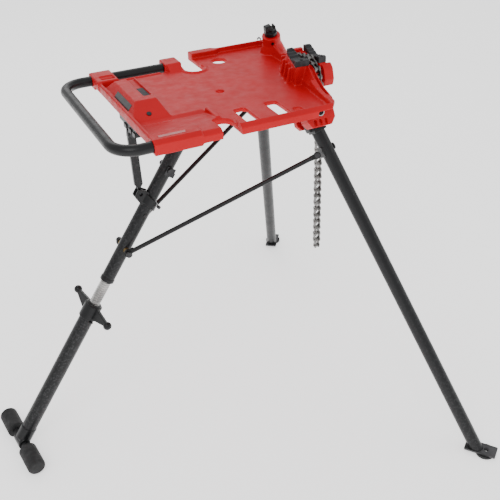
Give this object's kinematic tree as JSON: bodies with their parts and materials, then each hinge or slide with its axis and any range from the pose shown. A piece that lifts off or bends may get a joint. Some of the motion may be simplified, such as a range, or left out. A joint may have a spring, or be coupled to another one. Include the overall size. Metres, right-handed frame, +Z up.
{
  "type": "folding tripod pipe stand",
  "caption": "Portable folding tripod stand with a cast tool tray, chain vise for pipe, carry handle and a levelling rear leg with a T foot.",
  "frame": {"origin": "centre of the whole's footprint box on the floor", "axes": "+X from the carry handle to the vise, +Y to the left leg, +Z up"},
  "size_m": [1.1226, 1.2528, 0.9557],
  "materials": {
    "red_paint": "satin red enamel over cast metal",
    "black_paint": "black satin powder coat on tube",
    "jaw_steel": "dark hardened steel",
    "chain_steel": "oiled chain steel",
    "zinc_steel": "bright zinc plate",
    "foot_steel": "dull grey plated steel",
    "screw_steel": "oiled steel thread",
    "rubber": "matte black rubber",
    "pad_plastic": "dark moulded insert",
    "brass": "plain brass",
    "plate": "blank nameplate in red"
  },
  "bodies": {
    "tray": {"tray_casting": "red_paint", "carry_handle": "black_paint", "tray_screws": "screw_steel", "tray_pad": "pad_plastic", "rear_stop_plate": "black_paint", "blank_plates": "plate", "vise_jaw_rear": "jaw_steel", "vise_jaw_front": "jaw_steel", "vise_jaw_screws": "zinc_steel", "chain_anchor": "chain_steel", "vise_chain_plates": "chain_steel", "vise_chain_pins": "chain_steel", "rear_leg_bracket": "black_paint", "strut_bracket": "black_paint", "yoke_pins": "screw_steel", "leg_sockets": "red_paint", "leg_pivot_bolts": "screw_steel", "leg_pivot_rings": "zinc_steel", "keeper_cable": "black_paint"},
    "tension_knob": {"tension_knob": "black_paint"},
    "brace_post": {"brace_screw": "screw_steel"},
    "brace_head": {"brace_knob": "black_paint"},
    "chain_upper": {"hanging_chain_upper_plates": "chain_steel", "hanging_chain_upper_pins": "chain_steel"},
    "chain_lower": {"hanging_chain_lower_plates": "chain_steel", "hanging_chain_lower_pins": "chain_steel"},
    "rear_leg": {"rear_leg_tube": "black_paint", "rear_leg_end_collar": "black_paint", "levelling_screw": "screw_steel", "rear_leg_bolts": "screw_steel", "rod_cross_bolt": "screw_steel", "rod_bushes": "brass", "latch_clip": "screw_steel"},
    "slide_collar": {"slide_collar": "black_paint", "collar_bolt": "screw_steel"},
    "strut": {"strut_bar": "black_paint", "strut_foot_pin": "screw_steel"},
    "lower_leg": {"lower_leg_tube": "black_paint", "nut_seat": "black_paint", "foot_saddle": "black_paint", "t_foot_bar": "black_paint", "t_foot_grips": "rubber"},
    "wing_nut": {"wing_nut": "black_paint"},
    "right_leg": {"front_leg_tube_right": "black_paint", "leg_knuckle_right": "black_paint", "rod_lug_right": "black_paint", "rod_lug_bolt_right": "screw_steel", "foot_plate_right": "foot_steel", "foot_pad_right": "rubber"},
    "right_rod": {"brace_rod_right": "black_paint", "brace_rod_pin_right": "screw_steel"},
    "left_leg": {"front_leg_tube_left": "black_paint", "leg_knuckle_left": "black_paint", "rod_lug_left": "black_paint", "rod_lug_bolt_left": "screw_steel", "foot_plate_left": "foot_steel", "foot_pad_left": "rubber"},
    "left_rod": {"brace_rod_left": "black_paint", "brace_rod_pin_left": "screw_steel"}
  },
  "joints": [
    {"name": "rear_leg_fold", "type": "hinge", "parent": "tray", "child": "rear_leg", "pos_m": [0.00028, 0, 0.799], "axis": [0, 1, 0], "range_deg": [0, 49.84]},
    {"name": "right_leg_fold", "type": "hinge", "parent": "tray", "child": "right_leg", "pos_m": [0.26128, -0.1315, 0.828], "axis": [0, 0.8793, -0.4763], "range_deg": [0, 105.35]},
    {"name": "left_leg_fold", "type": "hinge", "parent": "tray", "child": "left_leg", "pos_m": [0.26128, 0.1315, 0.828], "axis": [0, 0.8793, 0.4763], "range_deg": [0, 105.35]},
    {"name": "collar_slide", "type": "slide", "parent": "rear_leg", "child": "slide_collar", "axis": [-0.5616, 0, -0.8274], "range_m": [0, 0.10274]},
    {"name": "strut_swing", "type": "hinge", "parent": "tray", "child": "strut", "pos_m": [-0.13772, 0, 0.817], "axis": [0, 1, 0], "range_deg": [0, 85.61]},
    {"name": "right_rod_swing", "type": "hinge", "parent": "rear_leg", "child": "right_rod", "pos_m": [-0.1884, -0.031, 0.52098], "axis": [0.1329, 0.979, -0.1548], "range_deg": [-34.39, 0]},
    {"name": "left_rod_swing", "type": "hinge", "parent": "rear_leg", "child": "left_rod", "pos_m": [-0.1884, 0.031, 0.52098], "axis": [-0.1329, 0.979, 0.1548], "range_deg": [-34.39, 0]},
    {"name": "lower_leg_slide", "type": "slide", "parent": "rear_leg", "child": "lower_leg", "axis": [-0.5616, 0, -0.8274], "range_m": [-0.055, 0.06]},
    {"name": "wing_nut_spin", "type": "hinge", "parent": "lower_leg", "child": "wing_nut", "pos_m": [-0.28724, 0, 0.37535], "axis": [-0.5616, 0, -0.8274], "range_deg": [-3302, 3602]},
    {"name": "brace_post_slide", "type": "slide", "parent": "tray", "child": "brace_post", "axis": [-0.2171, -0.2171, 0.9517], "range_m": [0, 0.03]},
    {"name": "brace_head_turn", "type": "hinge", "parent": "brace_post", "child": "brace_head", "pos_m": [0.32528, 0.187, 0.925], "axis": [-0.2171, -0.2171, 0.9517], "range_deg": [-180, 180]},
    {"name": "tension_knob_turn", "type": "hinge", "parent": "tray", "child": "tension_knob", "pos_m": [0.32028, 0.03, 0.839], "axis": [0, 0, 1], "range_deg": [-360, 360]},
    {"name": "chain_upper_swing", "type": "hinge", "parent": "tray", "child": "chain_upper", "pos_m": [0.32028, -0.07516, 0.87244], "axis": [1, 0, 0], "range_deg": [-12, 12]},
    {"name": "chain_lower_swing", "type": "hinge", "parent": "chain_upper", "child": "chain_lower", "pos_m": [0.32028, -0.07516, 0.62479], "axis": [1, 0, 0], "range_deg": [-20, 20]}
  ],
  "couplings": [
    {"joint": "right_leg_fold", "follows": "rear_leg_fold", "ratio": 2.113},
    {"joint": "left_leg_fold", "follows": "rear_leg_fold", "ratio": 2.113},
    {"joint": "collar_slide", "follows": "rear_leg_fold", "m_per_rad": 0.11789},
    {"joint": "strut_swing", "follows": "rear_leg_fold", "ratio": 1.7168},
    {"joint": "right_rod_swing", "follows": "rear_leg_fold", "ratio": -0.68916},
    {"joint": "left_rod_swing", "follows": "rear_leg_fold", "ratio": -0.68916},
    {"joint": "wing_nut_spin", "follows": "lower_leg_slide", "rad_per_m": 1047.2}
  ]
}
